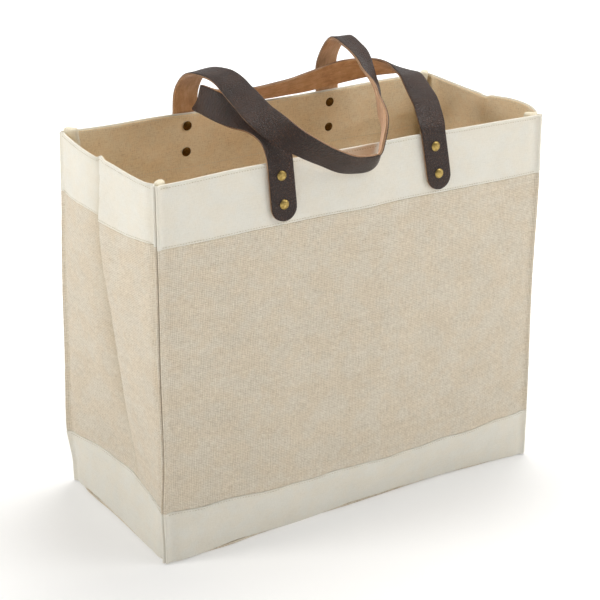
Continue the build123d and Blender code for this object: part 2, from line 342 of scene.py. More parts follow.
def leather_edge():
    g = Graph("leather_edge")
    uv = g.uv()
    fibre = g.noise(g.stretch(uv, (300.0, 2600.0, 1.0)), 1.0, 4.0, 0.65)
    tone_shift = g.noise(uv, 55.0, 4.0, 0.6)
    tone = g.total(g.swing(fibre, 0.6), g.swing(tone_shift, 0.6), 0.5)
    colour = g.ramp(tone, [
        (0.0, srgb(84, 58, 42)), (0.45, srgb(142, 110, 84)), (1.0, srgb(196, 164, 132)),
    ])
    return g.finish(colour, 0.8, g.bump(fibre, 0.5, 0.0003), Specular_IOR_Level=0.25)


def brass(name, dull, bright, shine):
    g = Graph(name)
    place = g.place()
    tarnish = g.noise(place, 420.0, 4.0, 0.6)
    scratch = g.noise(g.stretch(place, (2400.0, 260.0, 900.0)), 1.0, 3.0, 0.6)
    tone = g.total(g.swing(tarnish, 0.8), g.swing(scratch, 0.25), 0.5)
    colour = g.ramp(tone, [(0.1, dull), (0.9, bright)])
    rough = g.rescale(tone, 0.0, 1.0, shine + 0.16, shine)
    normal = g.bump(g.total(tarnish, g.swing(scratch, 0.5)), 0.18, 0.0002)
    return g.finish(colour, rough, normal, Metallic=1.0)


def thread_material(name, dark, pale):
    g = Graph(name)
    place = g.place()
    twist = g.noise(g.stretch(place, (3200.0, 3200.0, 3200.0)), 1.0, 2.0)
    colour = g.ramp(twist, [(0.2, dark), (0.8, pale)])
    return g.finish(colour, 0.8, g.bump(twist, 0.4, 0.0002), Sheen_Weight=0.2)


def fibreboard():
    g = Graph("fibreboard")
    place = g.place()
    flecks = g.noise(place, 700.0, 5.0, 0.7)
    cloud = g.noise(place, 30.0, 3.0)
    tone = g.total(g.swing(flecks, 0.5), g.swing(cloud, 0.3), 0.5)
    colour = g.ramp(tone, [(0.0, srgb(128, 108, 84)), (1.0, srgb(186, 165, 134))])
    return g.finish(colour, 0.9, g.bump(flecks, 0.4, 0.0003))


def floor_material():
    g = Graph("floor")
    place = g.place()
    reach = g.add("ShaderNodeVectorMath", operation="LENGTH")
    g.link(place, reach.inputs[0])
    # Painted shadow: the floor's colour is darker near the bag, a soft contact shadow painted in.
    near = g.rescale(reach.outputs["Value"], 0.3, 0.9, smooth=True)
    tone = g.math("ADD", near, g.swing(g.noise(place, 60.0, 3.0), 0.03))
    colour = g.ramp(tone, [(0.0, (0.72, 0.72, 0.715)), (1.0, (0.97, 0.97, 0.97))])
    # Painted light: the floor glows, more strongly away from the bag, and lights the bag from
    # below.
    glow = g.total(
        g.rescale(reach.outputs["Value"], 0.2, 1.2, 0.26, 0.62, smooth=True),
        g.rescale(reach.outputs["Value"], 1.0, 4.0, 0.0, 0.14, smooth=True),
    )
    g.put((1.0, 1.0, 1.0), g.shader.inputs["Emission Color"])
    g.link(glow, g.shader.inputs["Emission Strength"])
    return g.finish(colour, 0.9, Specular_IOR_Level=0.1)


# -------- mesh helpers

def make_object(name, points, faces, materials, uvs=None, face_slots=None, tone_shift=None):
    """One smooth mesh object in metres from millimetre points, normals made consistent."""
    mesh = bpy.data.meshes.new(name)
    mesh.from_pydata((np.asarray(points) * MM).tolist(), [], faces)
    for material in materials:
        mesh.materials.append(material)
    if uvs is not None:
        layer = mesh.uv_layers.new(name="cloth")
        corner = np.zeros(len(mesh.loops), np.int32)
        mesh.loops.foreach_get("vertex_index", corner)
        layer.data.foreach_set("uv", (np.asarray(uvs)[corner] * MM).astype(np.float32).ravel())
    # The gusset fold's painted shade, one number per vertex, darkens the cloth's colour.
    if tone_shift is not None:
        layer = mesh.attributes.new("fold_painted_shade", "FLOAT", "POINT")
        layer.data.foreach_set("value", np.asarray(tone_shift, np.float32))
    if face_slots is not None:
        mesh.polygons.foreach_set("material_index", np.asarray(face_slots, np.int32))
    mesh.polygons.foreach_set("use_smooth", np.ones(len(mesh.polygons), bool))
    shape = bmesh.new()
    shape.from_mesh(mesh)
    bmesh.ops.recalc_face_normals(shape, faces=shape.faces)
    shape.to_mesh(mesh)
    shape.free()
    mesh.update()
    return add_to_scene(name, mesh)


def carry(piece, slot, *nodes):
    """The piece moves with the bag and stands in for those CAD nodes."""
    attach(piece, "bag")
    if nodes:
        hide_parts(*nodes)


def skin_faces(rings, ring_size, first=0, caps=True):
    """Quads between closed rings, and a polygon over each end."""
    faces = []
    for i in range(rings - 1):
        a, b = first + i * ring_size, first + (i + 1) * ring_size
        for j in range(ring_size):
            k = (j + 1) % ring_size
            faces.append((a + j, a + k, b + k, b + j))
    if caps:
        last = first + (rings - 1) * ring_size
        faces.append(tuple(range(first + ring_size - 1, first - 1, -1)))
        faces.append(tuple(range(last, last + ring_size)))
    return faces


def unit(v):
    return v / np.linalg.norm(v, axis=-1, keepdims=True)


def travelled(points):
    """How far along a line of points each of them is."""
    return np.concatenate([[0], np.cumsum(np.linalg.norm(np.diff(points, axis=0), axis=1))])


def ripple(a, b, seed, size, count=7):
    """Smooth waves of about that size, between -1 and 1 for the most part."""
    source = np.random.default_rng(seed)
    out = 0.0
    for _ in range(count):
        angle = source.uniform(0, math.pi)
        wave = 2 * math.pi / (size * source.uniform(0.7, 1.5))
        phase = source.uniform(0, 2 * math.pi)
        out = out + np.sin(wave * (a * math.cos(angle) + b * math.sin(angle)) + phase)
    return out / math.sqrt(count)


def table(pairs, soften=34):
    """A smooth curve through (place, value) pairs, as a function of place."""
    places = np.arange(pairs[0][0] - 60.0, pairs[-1][0] + 61.0)
    rough = np.interp(places, [p[0] for p in pairs], [p[1] for p in pairs])
    window = np.hanning(soften)
    smooth = np.convolve(np.pad(rough, soften, mode="edge"), window / window.sum(), "same")
    smooth = smooth[soften:-soften]
    return lambda place: np.interp(place, places, smooth)


def bell(x, middle, width):
    """A smooth hump, 1 at its middle and nothing far from it."""
    return np.exp(-(((x - middle) / width) ** 2))


# -------- the bag's form
#
# A wall's swell is how far its middle stands out of the flat wall. s runs from -1 to 1 along the
# wall and z is the height. The tables hold (height, millimetres) or, for the ridge, (height, s).

front_swell = table([(0, 0.3), (22, 8), (50, 14), (110, 12), (175, 9.5), (295, -1), (350, -6.5)])
back_swell = table([(0, 0.3), (50, 8), (175, 5), (295, -2), (350, -7.5)])
left_swell = table([
    (0, 0), (30, -5), (50, -9), (110, -6), (175, 0.5), (233, 4), (295, 6.5), (350, 7),
])
left_fold = table([
    (55, 0), (100, 4), (150, 6), (200, 6.5), (250, 6), (295, 4.5), (330, 1), (350, -1.6),
])
left_valley = table([
    (55, 0), (100, 5.5), (150, 9), (220, 9), (265, 7), (295, 3.6), (320, 1.5), (350, -0.7),
])
left_ridge = table([
    (60, 0.27), (98, 0.24), (157, 0.24), (206, 0.2), (248, 0.11), (295, 0.03), (350, -0.01),
])
right_swell = table([
    (0, -0.5), (30, -6), (50, -9), (110, -6), (175, 0), (233, 1), (295, 0.5), (350, -0.5),
])
right_lobe = table([(60, 0), (120, 5), (233, 8), (295, 9), (350, 10.5)])


def waves(s, z, half, size, seed, width):
    """Slight unevenness that dies out at the corners."""
    return size * ripple(half * s, z, seed, width) * (1 - s ** 4)


def swell_front(s, z):
    return front_swell(z) * (1 - s * s) + waves(s, z, HALF_LENGTH, 0.8, 11, 150)


def swell_back(s, z):
    return back_swell(z) * (1 - s * s) + waves(s, z, HALF_LENGTH, 0.9, 12, 140)


FOLD_CLIMB = 0.065
FOLD_RIDGE_WIDTH = 0.45
FOLD_VALLEY_WIDTH = 0.62


def fold(t, ridge, valley):
    """A soft ridge that stands over a valley: the ridge where t is above 0."""
    climb = np.clip((t + FOLD_CLIMB) / FOLD_CLIMB, 0, 1)
    climb = climb * climb * (3 - 2 * climb)
    high = ridge * bell(np.maximum(t, 0), 0, FOLD_RIDGE_WIDTH)
    behind = np.abs(np.minimum(t + FOLD_CLIMB, 0))
    low = valley * np.clip(1 - behind / FOLD_VALLEY_WIDTH, 0, 1) ** 1.5
    return high * climb - low * (1 - climb)


def swell_left(s, z):
    wave = waves(s, z, HALF_DEPTH, 0.7, 13, 110)
    crease = fold(s - left_ridge(z), left_fold(z), left_valley(z))
    return left_swell(z) * (1 - s * s) + crease + wave


def swell_right(s, z):
    forward = -s
    lobe = right_lobe(z) * bell(forward, 0.67, 0.3) * (1 - s ** 8)
    step = fold(forward - 0.12, 0.16 * right_lobe(z), 0.08 * right_lobe(z))
    wave = waves(s, z, HALF_DEPTH, 0.7, 14, 110)
    return right_swell(z) * (1 - s * s) + lobe + step + wave


def left_painted_shade(s, z):
    """Painted shade on the left gusset behind its fold ridge, 0 to 1: behind the ridge, fading
    back.
    """
    behind = left_ridge(z) - s
    deep = np.maximum(left_fold(z), 0) + np.maximum(left_valley(z), 0)
    tucked = 0.0177 * deep + 0.02
    fade = np.exp(-np.maximum(behind - tucked, 0) / 0.11)
    return 0.48 * np.where(behind > 0.0, fade, 0.0) * np.clip((z - 45) / 60, 0, 1)


def no_painted_shade(s, z):
    return np.zeros_like(z)


class Wall:
    """One side of the bag: where a point lies, from its place along, height and depth in.

    out is the wall's outward direction, reach its distance from the middle of the bag and half
    its half width. seed starts its ripples.
    """

    def __init__(self, name, out, reach, half, swell, seed, tone_shift=no_painted_shade):
        self.name, self.reach, self.half, self.swell = name, reach, half, swell
        # Painted shade along a gusset's fold, by place and height; zero on most walls.
        self.tone_shift = tone_shift
        self.is_long = half == HALF_LENGTH
        self.step = LONG_STEP if self.is_long else GUSSET_STEP
        self.out = np.array([*out, 0.0])
        self.along = np.array([-out[1], out[0], 0.0])
        self.seed = seed

    def point(self, place, z, depth):
        """place holds along, sunk, roll and keep, as seam_places gives them.

        sunk moves the surface in, roll turns the depth at the rolled corner edge, and keep is the
        share of the depth that is left there.
        """
        along, sunk, roll, keep = place
        s = np.clip(along / self.half, -1, 1)
        inset = depth * keep
        side = np.sign(along)
        out = self.reach + self.swell(s, z) - sunk - inset * np.cos(roll)
        flat = along - side * inset * np.sin(roll)
        p = out[..., None] * self.out + flat[..., None] * self.along
        p[..., 2] = z
        return settle(p)

    def rim(self, along):
        """Height of the rim, with the small peak or dip where a gusset is folded."""
        rise = 0.0
        if self.name == "left":
            rise = 2.4 * bell(along, 1.0, 3.4)
        if self.name == "right":
            rise = 2.0 * bell(along, -40.0, 20.0) - 1.8 * bell(along, -9.0, 5.0)
        return RIM - 0.15 + 0.35 * ripple(along, 0, self.seed, 90) + rise

    def band(self, along):
        """Height of the top band's lower edge."""
        lift = {"left": 2.2 * bell(along, 92, 30), "front": -1.2}.get(self.name, 0.0)
        return BAND + 0.4 * ripple(along, 0, self.seed + 20, 70) + lift

    def hem(self, along):
        """Height of the bottom band's upper edge."""
        edge = 1 - (along / self.half) ** 6
        slope = {"left": 2.0 - 0.035 * along, "front": -1.0}.get(self.name, 0.0)
        return HEM + 0.75 * ripple(along, 0, self.seed + 40, 42) * edge + slope

    def showing(self, along):
        """How far the base panel's edge shows below the bottom band, 0 to 1."""
        s = along / self.half
        wave = 0.62 + 0.5 * ripple(along, 0, self.seed + 60, 130)
        return np.clip(wave, 0, 1) * np.clip((0.86 - np.abs(s)) / 0.2, 0, 1)

    def foot(self, along):
        """Height of the bottom band's lower edge."""
        return 0.7 + 2.3 * self.showing(along)


# How far the back left corner leans out, by height.
back_left_lean = table([
    (0, 1), (30, 5), (50, 9.5), (65, 10.3), (100, 9.3), (137, 7.6), (188, 6.6), (240, 4.6),
    (285, 2), (350, 0),
])
# How far the foot of the front wall stands out, by place from left to right.
foot_spread = table([
    (-200, 2), (-188, 6), (-165, 5), (-140, 4), (-113, 1), (-60, -1), (0, -3), (49, -5),
    (106, -5.3), (162, -2), (190, 1), (200, 1.5),
])


def settle(p):
    """The corners' small lean and the foot's spread, which every part of the body shares."""
    x, y, z = p[..., 0], p[..., 1], p[..., 2]
    left_side = np.clip((-x - 90) / 110, 0, 1) ** 2
    near_back_left = left_side * np.clip((y + 30) / 122, 0, 1) ** 2
    front = np.clip((-y + 10) / 102, 0, 1) ** 2
    near_front_left = np.clip((-x - 120) / 80, 0, 1) ** 2 * front
    near_front_right = np.clip((x - 120) / 80, 0, 1) ** 2 * front
    at_foot = np.exp(-np.clip(z, 0, None) / 26)
    moved = p.copy()
    moved[..., 0] = x - near_back_left * back_left_lean(z) - 3.6 * left_side * at_foot
    moved[..., 0] -= near_front_left * (2.6 * bell(z, 50, 30) + 0.8 * bell(z, 180, 60))
    moved[..., 0] += 0.9 * near_front_right * np.sin(z / 38.0) * np.clip((340 - z) / 60, 0, 1)
    moved[..., 1] = y - foot_spread(x) * at_foot * np.clip((-y - 20) / 72, 0, 1) ** 2
    return moved


walls = [
    Wall("front", (0, -1), HALF_DEPTH, HALF_LENGTH, swell_front, 101),
    Wall("right", (1, 0), HALF_LENGTH, HALF_DEPTH, swell_right, 102),
    Wall("back", (0, 1), HALF_DEPTH, HALF_LENGTH, swell_back, 103),
    Wall("left", (-1, 0), HALF_LENGTH, HALF_DEPTH, swell_left, 104, left_painted_shade),
]


def corner_dip(wall, along):
    """How far a wall sinks beside its corner seams, deeper at a gusset's front corner."""
    beyond = wall.half - np.abs(along)
    if wall.is_long:
        return 0.5 * bell(beyond, 8.4, 3.2)
    front_end = along * wall.along[1] < 0
    return np.where(front_end, 3.0, 0.8) * bell(beyond, 6.6, 3.8)


def seam_places(wall):
    """Places along a wall out to the rolled edges, where the cloth turns in to the corner seam.

    Returns along, sunk, roll and keep for Wall.point.
    """
    flat_end = wall.half - SEAM_REACH * SEAM_RADIUS + SEAM_PROUD
    close = np.array([0.0, 0.5, 1.0, 1.6, 2.3, 3.2, 4.4, 5.8, 7.6, 10.2])
    count = int(2 * (flat_end - 13) / wall.step)
    run = np.linspace(-flat_end + 13, flat_end - 13, count)
    along = np.concatenate([-flat_end + close, run, (flat_end - close)[::-1]])
    beyond = wall.half - np.abs(along)
    dip = corner_dip(wall, along)
    dip = dip - SEAM_PROUD * np.clip(1 - (beyond - (wall.half - flat_end)) / 3.4, 0, 1) ** 1.5
    keep = np.ones_like(along)
    roll = np.zeros_like(along)
    angles = np.radians([22, 45, 68, 90, 112, 135])
    arc_along = flat_end + SEAM_RADIUS * np.sin(angles)
    arc_sunk = SEAM_RADIUS * (1 - np.cos(angles)) - SEAM_PROUD
    lip = np.array([0.8, 1.6]) * math.sqrt(0.5)
    arc_along = np.concatenate([arc_along, arc_along[-1] - lip])
    arc_sunk = np.concatenate([arc_sunk, arc_sunk[-1] + lip])
    arc_roll = np.concatenate([angles, [angles[-1]] * 2])
    arc_keep = np.concatenate([np.linspace(0.7, 0.22, 6), [0.2, 0.2]])
    return (
        np.concatenate([-arc_along[::-1], along, arc_along]),
        np.concatenate([arc_sunk[::-1], dip, arc_sunk]),
        np.concatenate([arc_roll[::-1], roll, arc_roll]),
        np.concatenate([arc_keep[::-1], keep, arc_keep]),
    )


def plain_places(wall, half_span):
    """Places along a wall for a layer that ends without a rolled edge."""
    along = np.linspace(-half_span, half_span, int(2 * half_span / wall.step) + 1)
    dip = corner_dip(wall, along)
    return along, dip, np.zeros_like(along), np.ones_like(along)


def steps(height, step, low, high):
    """Heights up a panel: close together near its two edges, step apart between."""
    low, high = np.array(low), np.array(high)
    start, end = low[-1] + step, height - high[-1] - step
    middle = np.linspace(start, end, max(2, int((end - start) / step)))
    return np.concatenate([low, middle, (height - high)[::-1]])


def panel(
    wall, label, places, lower, upper, rise, depth, relief, material, node, slot,
):
    """A closed cloth panel on a wall. relief moves its outer face in, by place and height.

    length is the flat sheet's, in metres; the sheet is as wide as the wall.
    """
    along = places[0][:, None]
    low, high = lower(along), upper(along)
    height = rise[-1] - rise[0]
    share = (rise - rise[0]) / height
    z = low + share[None, :] * (high - low)
    outer, inner = depth
    half = (inner - outer) / 2
    ends = np.minimum(np.minimum(share, 1 - share) * height / max(half, 0.3), 1.0)[None, :]
    bevel = half * (1 - np.sqrt(np.clip(1 - (1 - ends) ** 2, 0, 1)))
    shift = relief(wall, along, z, low, high)
    face = outer + bevel + shift
    back = np.maximum(inner - bevel, face + 0.25 * half)
    ring_z = np.concatenate([z, z[:, ::-1]], axis=1)
    ring_depth = np.concatenate([face, back[:, ::-1]], axis=1)
    spread = [np.broadcast_to(p[:, None], ring_z.shape) for p in places]
    points = wall.point(spread, ring_z, ring_depth)
    travel = travelled(np.stack(places[:2], axis=1))
    u = np.broadcast_to(travel[:, None] + 37.0 * wall.seed, ring_z.shape)
    uv = np.stack([u, ring_z], axis=-1)
    # Painted shade along the left gusset's fold; zero on the other walls.
    tone_shift = wall.tone_shift(np.clip(spread[0] / wall.half, -1, 1), ring_z)
    piece = make_object(
        f"{wall.name}_{label}", points.reshape(-1, 3), skin_faces(*ring_z.shape), [material],
        uv.reshape(-1, 2), tone_shift=tone_shift.ravel(),
    )
    carry(piece, slot, f"{wall.name}_{node}")


# -------- stitching

def stitch_mesh(points, normals, pitch=2.7, length=1.8, radius=0.28):
    """Short arched threads laid end to end along a line of points."""
    leap = travelled(points)
    count = int(leap[-1] / pitch)
    centres = (np.arange(count) + 0.5) * leap[-1] / count

    def at(places, rows):
        return np.stack([np.interp(places, leap, rows[:, k]) for k in range(3)], axis=1)

    centre = at(centres, points)
    up = unit(at(centres, normals))
    heading = unit(at(centres + 0.5, points) - at(centres - 0.5, points))
    across = unit(np.cross(up, heading))
    places = np.array([-1.0, -0.72, -0.25, 0.25, 0.72, 1.0])
    thick = np.array([0.35, 0.85, 1.0, 1.0, 0.85, 0.35])
    arch = 0.16 - 0.36 * places ** 2
    turn = np.arange(6) * math.pi / 3
    rings = []
    for place, size, lift in zip(places, thick, arch):
        middle = centre + heading * (place * length / 2) + up * lift
        for angle in turn:
            offset = across * math.cos(angle) + up * math.sin(angle)
            rings.append(middle + offset * radius * size)
    shape = np.stack(rings, axis=1)
    faces = []
    for i in range(count):
        faces += skin_faces(6, 6, first=i * 36)
    return shape.reshape(-1, 3), faces


def join(name, parts, material):
    """One object from several lists of points and faces."""
    points, faces, first = [], [], 0
    for row_points, row_faces in parts:
        points.append(row_points)
        faces += [tuple(v + first for v in face) for face in row_faces]
        first += len(row_points)
    return make_object(name, np.concatenate(points), faces, [material])


def wall_row(wall, height, depth, outward=1.0, inset=5.0):
    """Points and normals of a stitched line along a wall."""
    along = np.arange(-wall.half + inset, wall.half - inset, 1.2)
    zero = np.zeros_like(along)
    place = (along, zero, zero, np.ones_like(along))
    z = height(along)
    here = wall.point(place, z, depth + zero)
    side = wall.point((along + 0.5, zero, zero, zero + 1), z, depth + zero)
    above = wall.point(place, z + 0.5, depth + zero)
    normal = unit(np.cross(side - here, above - here)) * outward
    return here, normal


# -------- straps
#
# Stations along each strap: its centre's x, y and z, then the direction across its width.

back_stations = [
    (-77, 91.8, 312, 1.0, 0.0, 0.0), (-76, 89, 350, 1.0, 0.0, 0.0),
    (-74, 88, 372, 1.0, 0.0, 0.0), (-72, 74, 389, 0.98, 0.1, 0.0),
    (-67, 40, 395, 0.96, 0.2, 0.15), (-73, -16, 388, 0.88, 0.15, 0.42),
    (-81, -64, 382, 0.8, -0.05, 0.58), (-73, -98, 371, 0.3, -0.45, 0.84),
    (-42, -103, 352, 0.2, -0.68, 0.7), (-12, -101, 339, 0.0, -0.65, 0.76),
    (12, -100, 340, -0.25, -0.65, 0.7), (19, -98, 357, -0.35, -0.78, 0.5),
    (46, -50, 374, -0.47, -0.76, 0.45), (70, 0, 384, -0.7, -0.6, 0.3),
    (82, 45, 400, -0.9, -0.4, 0.1), (82, 70, 404, -0.96, -0.25, 0.1),
    (78, 87, 378, -1.0, -0.2, 0.0), (80, 89, 350, -1.0, 0.0, 0.0),
    (80, 91.8, 312, -1.0, 0.0, 0.0),
]
front_stations = [
    (-78, -91.8, 312, -1.0, 0.0, -0.05), (-80, -89, 350, -1.0, 0.0, -0.05),
    (-79, -79, 365, -1.0, 0.0, -0.1), (-79, -52, 372, -0.95, 0.0, -0.3),
    (-82, -20, 373, -0.75, 0.1, -0.65), (-84, 8, 374, -0.5, 0.2, -0.84),
    (-82, 35, 373, -0.25, 0.35, -0.9), (-75, 62, 369, 0.1, 0.6, -0.8),
    (-58, 74, 363, 0.1, 0.65, -0.75), (-30, 76, 360.5, 0.0, 0.75, -0.66),
    (0, 76, 360.5, 0.0, 0.72, -0.7), (50, 75, 364, 0.0, 0.5, -0.87),
    (86, 68, 371, 0.05, 0.3, -0.95), (108, 54, 375, 0.2, 0.6, -0.78),
    (118, 28, 379, 0.49, 0.79, -0.38), (115, 4, 380, 0.85, 0.5, -0.1),
    (102, -32, 375, 0.97, 0.25, 0.0), (87, -68, 367, 1.0, 0.1, 0.1),
    (79, -89, 350, 1.0, 0.0, 0.13), (84, -91.8, 312, 1.0, 0.0, 0.13),
]
STRAP_HALF_WIDTH = 12.5
STRAP_HALF_THICKNESS = 1.5
# Distances down a strap's end from the rim: its rounded end's centre and its two rivets.
END_CENTRE = 40.0
RIVET_REACH = (12.0, 37.5)
# Place and height that the lining is held at under each pair of rivets.
RIVET_COLUMNS = ((-80.0, 325.0), (80.0, 325.0))


def curve_through(values, knots, places):
    """A smooth curve through rows of values at their knots, read off at the places."""
    gap = np.diff(knots)[:, None]
    rise = np.diff(values, axis=0) / gap
    inner = (rise[1:] * gap[:-1] + rise[:-1] * gap[1:]) / (gap[1:] + gap[:-1])
    slope = np.concatenate([rise[:1], inner, rise[-1:]])
    index = np.clip(np.searchsorted(knots, places, "right") - 1, 0, len(knots) - 2)
    span = gap[index]
    share = (places - knots[index])[:, None] / span
    return (
        values[index] * (2 * share ** 3 - 3 * share ** 2 + 1)
        + slope[index] * span * (share ** 3 - 2 * share ** 2 + share)
        + values[index + 1] * (3 * share ** 2 - 2 * share ** 3)
        + slope[index + 1] * span * (share ** 3 - share ** 2)
    )


def strap_line(stations):
    """Finely spaced centres, width directions and distances along a strap, ends included."""
    rows = [[np.array(r[:3], float), unit(np.array(r[3:], float))] for r in stations]
    ends = []
    for low, top in ((rows[0], rows[1]), (rows[-1], rows[-2])):
        down = unit(low[0] - top[0])
        ends.append([
            [top[0] + down * reach, unit(low[1] + top[1])]
            for reach in (END_CENTRE + STRAP_HALF_WIDTH, 24.0, 5.0)
        ])
    rows = ends[0] + rows[1:-1] + ends[1][::-1]
    centres, widths = (np.array(column) for column in zip(*rows))
    knots = travelled(centres)
    total = knots[-1]
    near = 6.2 * (1 - np.cos(np.linspace(0, math.pi / 2, 9)))[:-1] * 2
    distance = np.concatenate([near, np.arange(12.6, total - 12.6, 1.5), (total - near)[::-1]])
    centre = curve_through(centres, knots, distance)
    across = curve_through(widths, knots, distance)
    return centre, across, distance, total


def eased(rows, distance, total, window):
    """Rows of vectors with their quick changes smoothed out, away from the riveted ends."""
    weights = np.hanning(window + 2)[1:-1]
    weights = weights / weights.sum()
    padded = np.pad(rows, ((window // 2, window // 2), (0, 0)), mode="edge")
    smooth = np.stack([np.convolve(padded[:, k], weights, "valid") for k in range(3)], axis=1)
    free = np.clip((np.minimum(distance, total - distance) - 48) / 22, 0, 1)[:, None]
    return rows + (smooth - rows) * free


GRAIN_SLOT, SUEDE_SLOT, EDGE_SLOT = range(3)


def strap(name, stations, side, seed):
    """One leather strap: side is -1 at the front wall and 1 at the back one."""
    centre, across, distance, total = strap_line(stations)
    centre = eased(centre, distance, total, 11)
    across = eased(across, distance, total, 27)
    heading = unit(np.gradient(centre, distance, axis=0))
    across = unit(across - heading * np.sum(across * heading, axis=1, keepdims=True))
    normal = np.cross(heading, across)
    if normal[0].dot([0, side, 0]) < 0:
        normal = -normal
    from_end = np.minimum(distance, total - distance)
    reach = STRAP_HALF_WIDTH
    half_width = np.where(
        from_end < reach,
        np.sqrt(np.clip(reach ** 2 - (reach - from_end) ** 2, 0.04, None)), reach,
    )
    half_width = half_width + 0.12 * ripple(distance, 0, seed, 60)
    # Ring: grain face, edge, suede face, edge; the corners are rounded over.
    width_share = np.array([-1, -.985, -.95, -.8, -.6, -.4, -.2, 0, .2, .4, .6, .8, .95, .985, 1])
    crown = np.array([.45, .8, .97, *[1] * 9, .97, .8, .45])
    ring_w = np.concatenate([width_share, width_share[::-1]])
    ring_h = np.concatenate([crown, -crown[::-1]])
    offset_w = half_width[:, None] * ring_w[None, :]
    thin = np.where(from_end < 2.5, 0.75 + 0.1 * from_end, 1.0)[:, None]
    offset_h = STRAP_HALF_THICKNESS * ring_h[None, :] * thin
    # Leather dips a little under each rivet cap.
    for reach_down in RIVET_REACH:
        for ends in (distance, total - distance):
            gap = np.hypot((ends - (END_CENTRE + STRAP_HALF_WIDTH - reach_down))[:, None], offset_w)
            offset_h -= np.where(ring_h[None, :] > 0, 0.32, 0.0) * bell(gap, 0, 5.4)
    free = np.clip((from_end - 55) / 20, 0, 1)[:, None]
    sway = 0.22 * ripple(distance[:, None], offset_w, seed + 1, 26) * free
    points = (
        centre[:, None, :]
        + across[:, None, :] * offset_w[..., None]
        + normal[:, None, :] * (offset_h + sway)[..., None]
    )
    uv = np.stack(np.broadcast_arrays(distance[:, None] + seed, offset_w + 40.0 * (ring_h < 0)), -1)
    edge = [EDGE_SLOT] * 2
    wide = len(width_share) - 1
    ring_slots = [GRAIN_SLOT] * wide + edge + [SUEDE_SLOT] * (wide - 2) + edge
    return make_object(
        name, points.reshape(-1, 3), skin_faces(len(distance), len(ring_w)),
        [grain_material, suede_material, edge_material], uv.reshape(-1, 2),
        ring_slots * (len(distance) - 1) + edge,
    )


def end_frame(low, top, side):
    """Top point, up and outward directions of a riveted strap end, from its two stations."""
    low, top = np.array(low[:3], float), np.array(top[:3], float)
    up = unit(top - low)
    across = unit(np.cross(up, [0, side, 0]))
    return top, up, np.cross(across, up)


def lathe(profile, centre, axis, segments=44):
    """A closed turned form about an axis, from (radius, height) pairs off the axis."""
    side = unit(np.cross(axis, [0.31, 0.2, 0.93]))
    other = np.cross(axis, side)
    angles = np.arange(segments) * 2 * math.pi / segments
    rings = [
        centre + axis * height
        + radius * (np.cos(angles)[:, None] * side + np.sin(angles)[:, None] * other)
        for radius, height in profile
    ]
    return np.concatenate(rings), skin_faces(len(profile), segments)


INNER_CAP_DEPTH = 6.6
OUTER_CAP = [
    (0.25, 1.42), (1.1, 1.38), (2.1, 1.24), (3.0, 1.0), (3.7, 0.7), (4.2, 0.38), (4.48, 0.1),
    (4.5, -0.1), (4.2, -0.22), (2.2, -0.24), (2.0, -0.4), (2.0, -7.9), (0.2, -7.9),
]
INNER_CAP = [
    (0.25, 1.3), (1.1, 1.27), (2.1, 1.14), (3.0, 0.92), (3.7, 0.64), (4.2, 0.34), (4.46, 0.08),
    (4.5, -0.05), (4.2, -0.1), (0.2, -0.1),
]


# -------- build

place_camera()
light_the_set()

jute = woven(
    "jute", srgb(166, 149, 123), srgb(213, 201, 181), srgb(240, 232, 215), (1.0, 0.97, 0.93),
    pitch=1.6, slub=0.26, patch=0.1, gap=0.52, relief=0.8,
)
canvas = woven(
    "canvas", srgb(194, 188, 172), srgb(227, 222, 209), srgb(241, 237, 227), (1.0, 0.985, 0.96),
    pitch=0.7, slub=0.16, patch=0.12, gap=0.16, relief=0.4,
)
lining_cloth = woven(
    "lining_cloth", srgb(190, 163, 124), srgb(246, 226, 191), srgb(254, 241, 213),
    (1.0, 0.96, 0.91), pitch=0.8, slub=0.34, patch=0.18, gap=0.22, relief=0.5,
)
tape = woven(
    "tape", srgb(186, 172, 142), srgb(232, 224, 202), srgb(246, 241, 226), (1.0, 0.97, 0.92),
    pitch=0.6, slub=0.2, patch=0.14, gap=0.2, relief=0.5,
)
grain_material = leather_grain()
suede_material = leather_suede()
edge_material = leather_edge()
cap_brass = brass("cap_brass", srgb(120, 98, 52), srgb(196, 170, 104), 0.3)
dark_brass = brass("dark_brass", srgb(60, 42, 18), srgb(118, 88, 44), 0.36)
thread = thread_material("thread", srgb(172, 161, 136), srgb(214, 206, 185))
pale_thread = thread_material("pale_thread", srgb(214, 200, 172), srgb(248, 240, 220))

floor_mesh = bpy.data.meshes.new("floor")
FLOOR_SIDES = 64
floor_angles = [2 * math.pi * k / FLOOR_SIDES for k in range(FLOOR_SIDES)]
# A round floor whose far edge turns up, so that low views have no dark horizon.
floor_points = [
    (reach * math.cos(angle), reach * math.sin(angle), height)
    for reach, height in ((14.0, 0.0), (17.0, 2.5)) for angle in floor_angles
]
floor_faces = [tuple(range(FLOOR_SIDES)), *skin_faces(2, FLOOR_SIDES, caps=False)]
floor_mesh.from_pydata(floor_points, [], floor_faces)
floor_mesh.materials.append(floor_material())
floor = add_to_scene("floor", floor_mesh)
floor.location.z = -0.0004


def band_relief(wall, along, z, low, high):
    """The top band puffs at its folded lower edge and sinks along its two stitched lines."""
    pucker = 1 + 0.5 * ripple(along, 0, wall.seed + 7, 7)
    above, below = z - low, high - z
    return (
        -0.38 * np.exp(-above / 2.2) + 0.22 * pucker * bell(above, 1.9, 0.9)
        + 0.26 * pucker * bell(below, 3.1, 0.9) - 0.1 * np.exp(-below / 1.5)
        + 0.10 * ripple(along, z, wall.seed + 8, 16)
    )


def hem_relief(wall, along, z, low, high):
    """The bottom band puffs at its folded upper edge and sinks along the stitched line."""
    pucker = 1 + 0.5 * ripple(along, 0, wall.seed + 9, 8)
    above, below = z - low, high - z
    return (
        -0.38 * np.exp(-below / 2.2) + 0.22 * pucker * bell(below, 1.9, 0.9)
        + 0.5 * np.exp(-above / 2.0) + 0.16 * ripple(along, z, wall.seed + 10, 24)
    )


def jute_relief(wall, along, z, low, high):
    return 0.10 * ripple(along, z, wall.seed + 11, 20)


